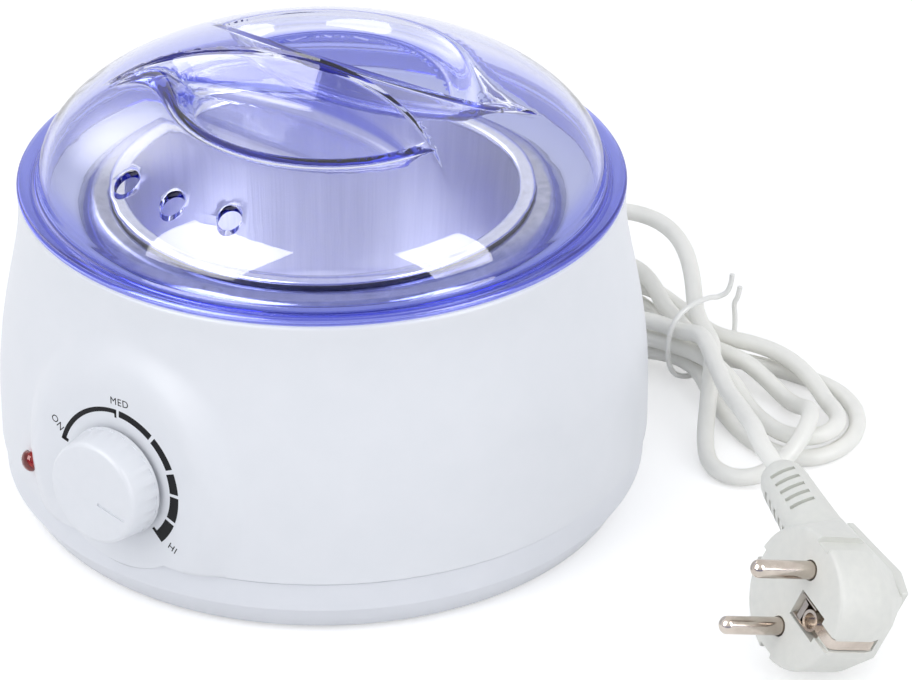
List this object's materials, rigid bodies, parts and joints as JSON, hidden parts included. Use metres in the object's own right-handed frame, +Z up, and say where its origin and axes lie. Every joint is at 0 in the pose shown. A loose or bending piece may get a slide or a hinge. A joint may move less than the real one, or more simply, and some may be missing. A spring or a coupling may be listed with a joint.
{
  "type": "wax warmer",
  "caption": "Round free-standing electric wax warmer: lift-out pot in a heated well, clear domed lid with finger grip, temperature dial, pilot lamp and tied mains cord with angled earthed plug.",
  "frame": {"origin": "on the table under the middle of the housing", "axes": "+Z up along the axis of the housing, the pot and the lid; the dial faces -Y and the cord leaves towards +Y"},
  "size_m": [0.2747, 0.2319, 0.1267],
  "materials": {
    "white_gloss": "cool white gloss moulding",
    "violet_clear": "clear blue-violet moulding",
    "aluminium": "bright, brushed inside",
    "steel": "plain",
    "nickel": "bright nickel plate",
    "red_lens": "red, translucent",
    "white_plastic": "satin",
    "cord_plastic": "satin white sheath",
    "tie_plastic": "clear coated wire",
    "dark_phenolic": "dark moulding",
    "nylon": "natural",
    "mica": "mica sheet",
    "brass": "plain",
    "clear_glass": "clear",
    "rubber": "matt black",
    "brown_plastic": "wire sheath",
    "blue_plastic": "wire sheath",
    "green_plastic": "wire sheath"
  },
  "bodies": {
    "housing": {"body_shell": "white_gloss", "base_cover": "white_gloss", "heater_well": "steel", "thermostat_body": "dark_phenolic", "thermostat_bracket": "steel", "thermostat_screw_0": "steel", "thermostat_screw_1": "steel", "lamp_lens": "red_lens", "neon_lamp": "clear_glass", "lamp_holder": "nylon", "heating_band": "mica", "heater_clamp": "steel", "clamp_screw": "steel", "thermal_fuse": "nylon", "fuse_clip": "steel", "well_bar": "steel", "well_nut": "brass", "bar_washer": "steel", "earth_tag": "brass", "bar_screw_0": "steel", "bar_screw_1": "steel", "cord_bushing": "white_plastic", "cord_clamp": "nylon", "cord_clamp_screw_0": "steel", "cord_clamp_screw_1": "steel", "terminal_block": "nylon", "inner_cable": "white_plastic", "wire_line": "brown_plastic", "wire_neutral": "blue_plastic", "wire_earth": "green_plastic", "wire_control": "brown_plastic", "wire_lamp": "blue_plastic", "wire_heater": "brown_plastic", "base_screw_0": "steel", "base_screw_1": "steel", "base_screw_2": "steel", "base_screw_3": "steel", "foot_pad_0": "rubber", "foot_pad_1": "rubber", "foot_pad_2": "rubber", "foot_pad_3": "rubber", "cord_lead": "cord_plastic", "cord_hank": "cord_plastic", "cord_tail": "cord_plastic", "twist_tie": "tie_plastic", "plug_body": "white_plastic", "plug_pin_0": "nickel", "plug_pin_1": "nickel", "plug_earth_strip_0": "nickel", "plug_earth_strip_1": "nickel"},
    "pot": {"inner_pot": "aluminium"},
    "lid": {"lid": "violet_clear"},
    "dial_knob": {"knob": "white_gloss", "thermostat_shaft": "steel"}
  },
  "joints": [
    {"name": "pot_lift", "type": "slide", "parent": "housing", "child": "pot", "axis": [0, 0, 1], "range_m": [0, 0.07]},
    {"name": "lid_lift", "type": "slide", "parent": "pot", "child": "lid", "axis": [0, 0, 1], "range_m": [0, 0.05]},
    {"name": "dial_turn", "type": "hinge", "parent": "housing", "child": "dial_knob", "pos_m": [0, -0.0884, 0.03913], "axis": [0, 0.999, -0.045], "range_deg": [-227, 28.6]}
  ]
}
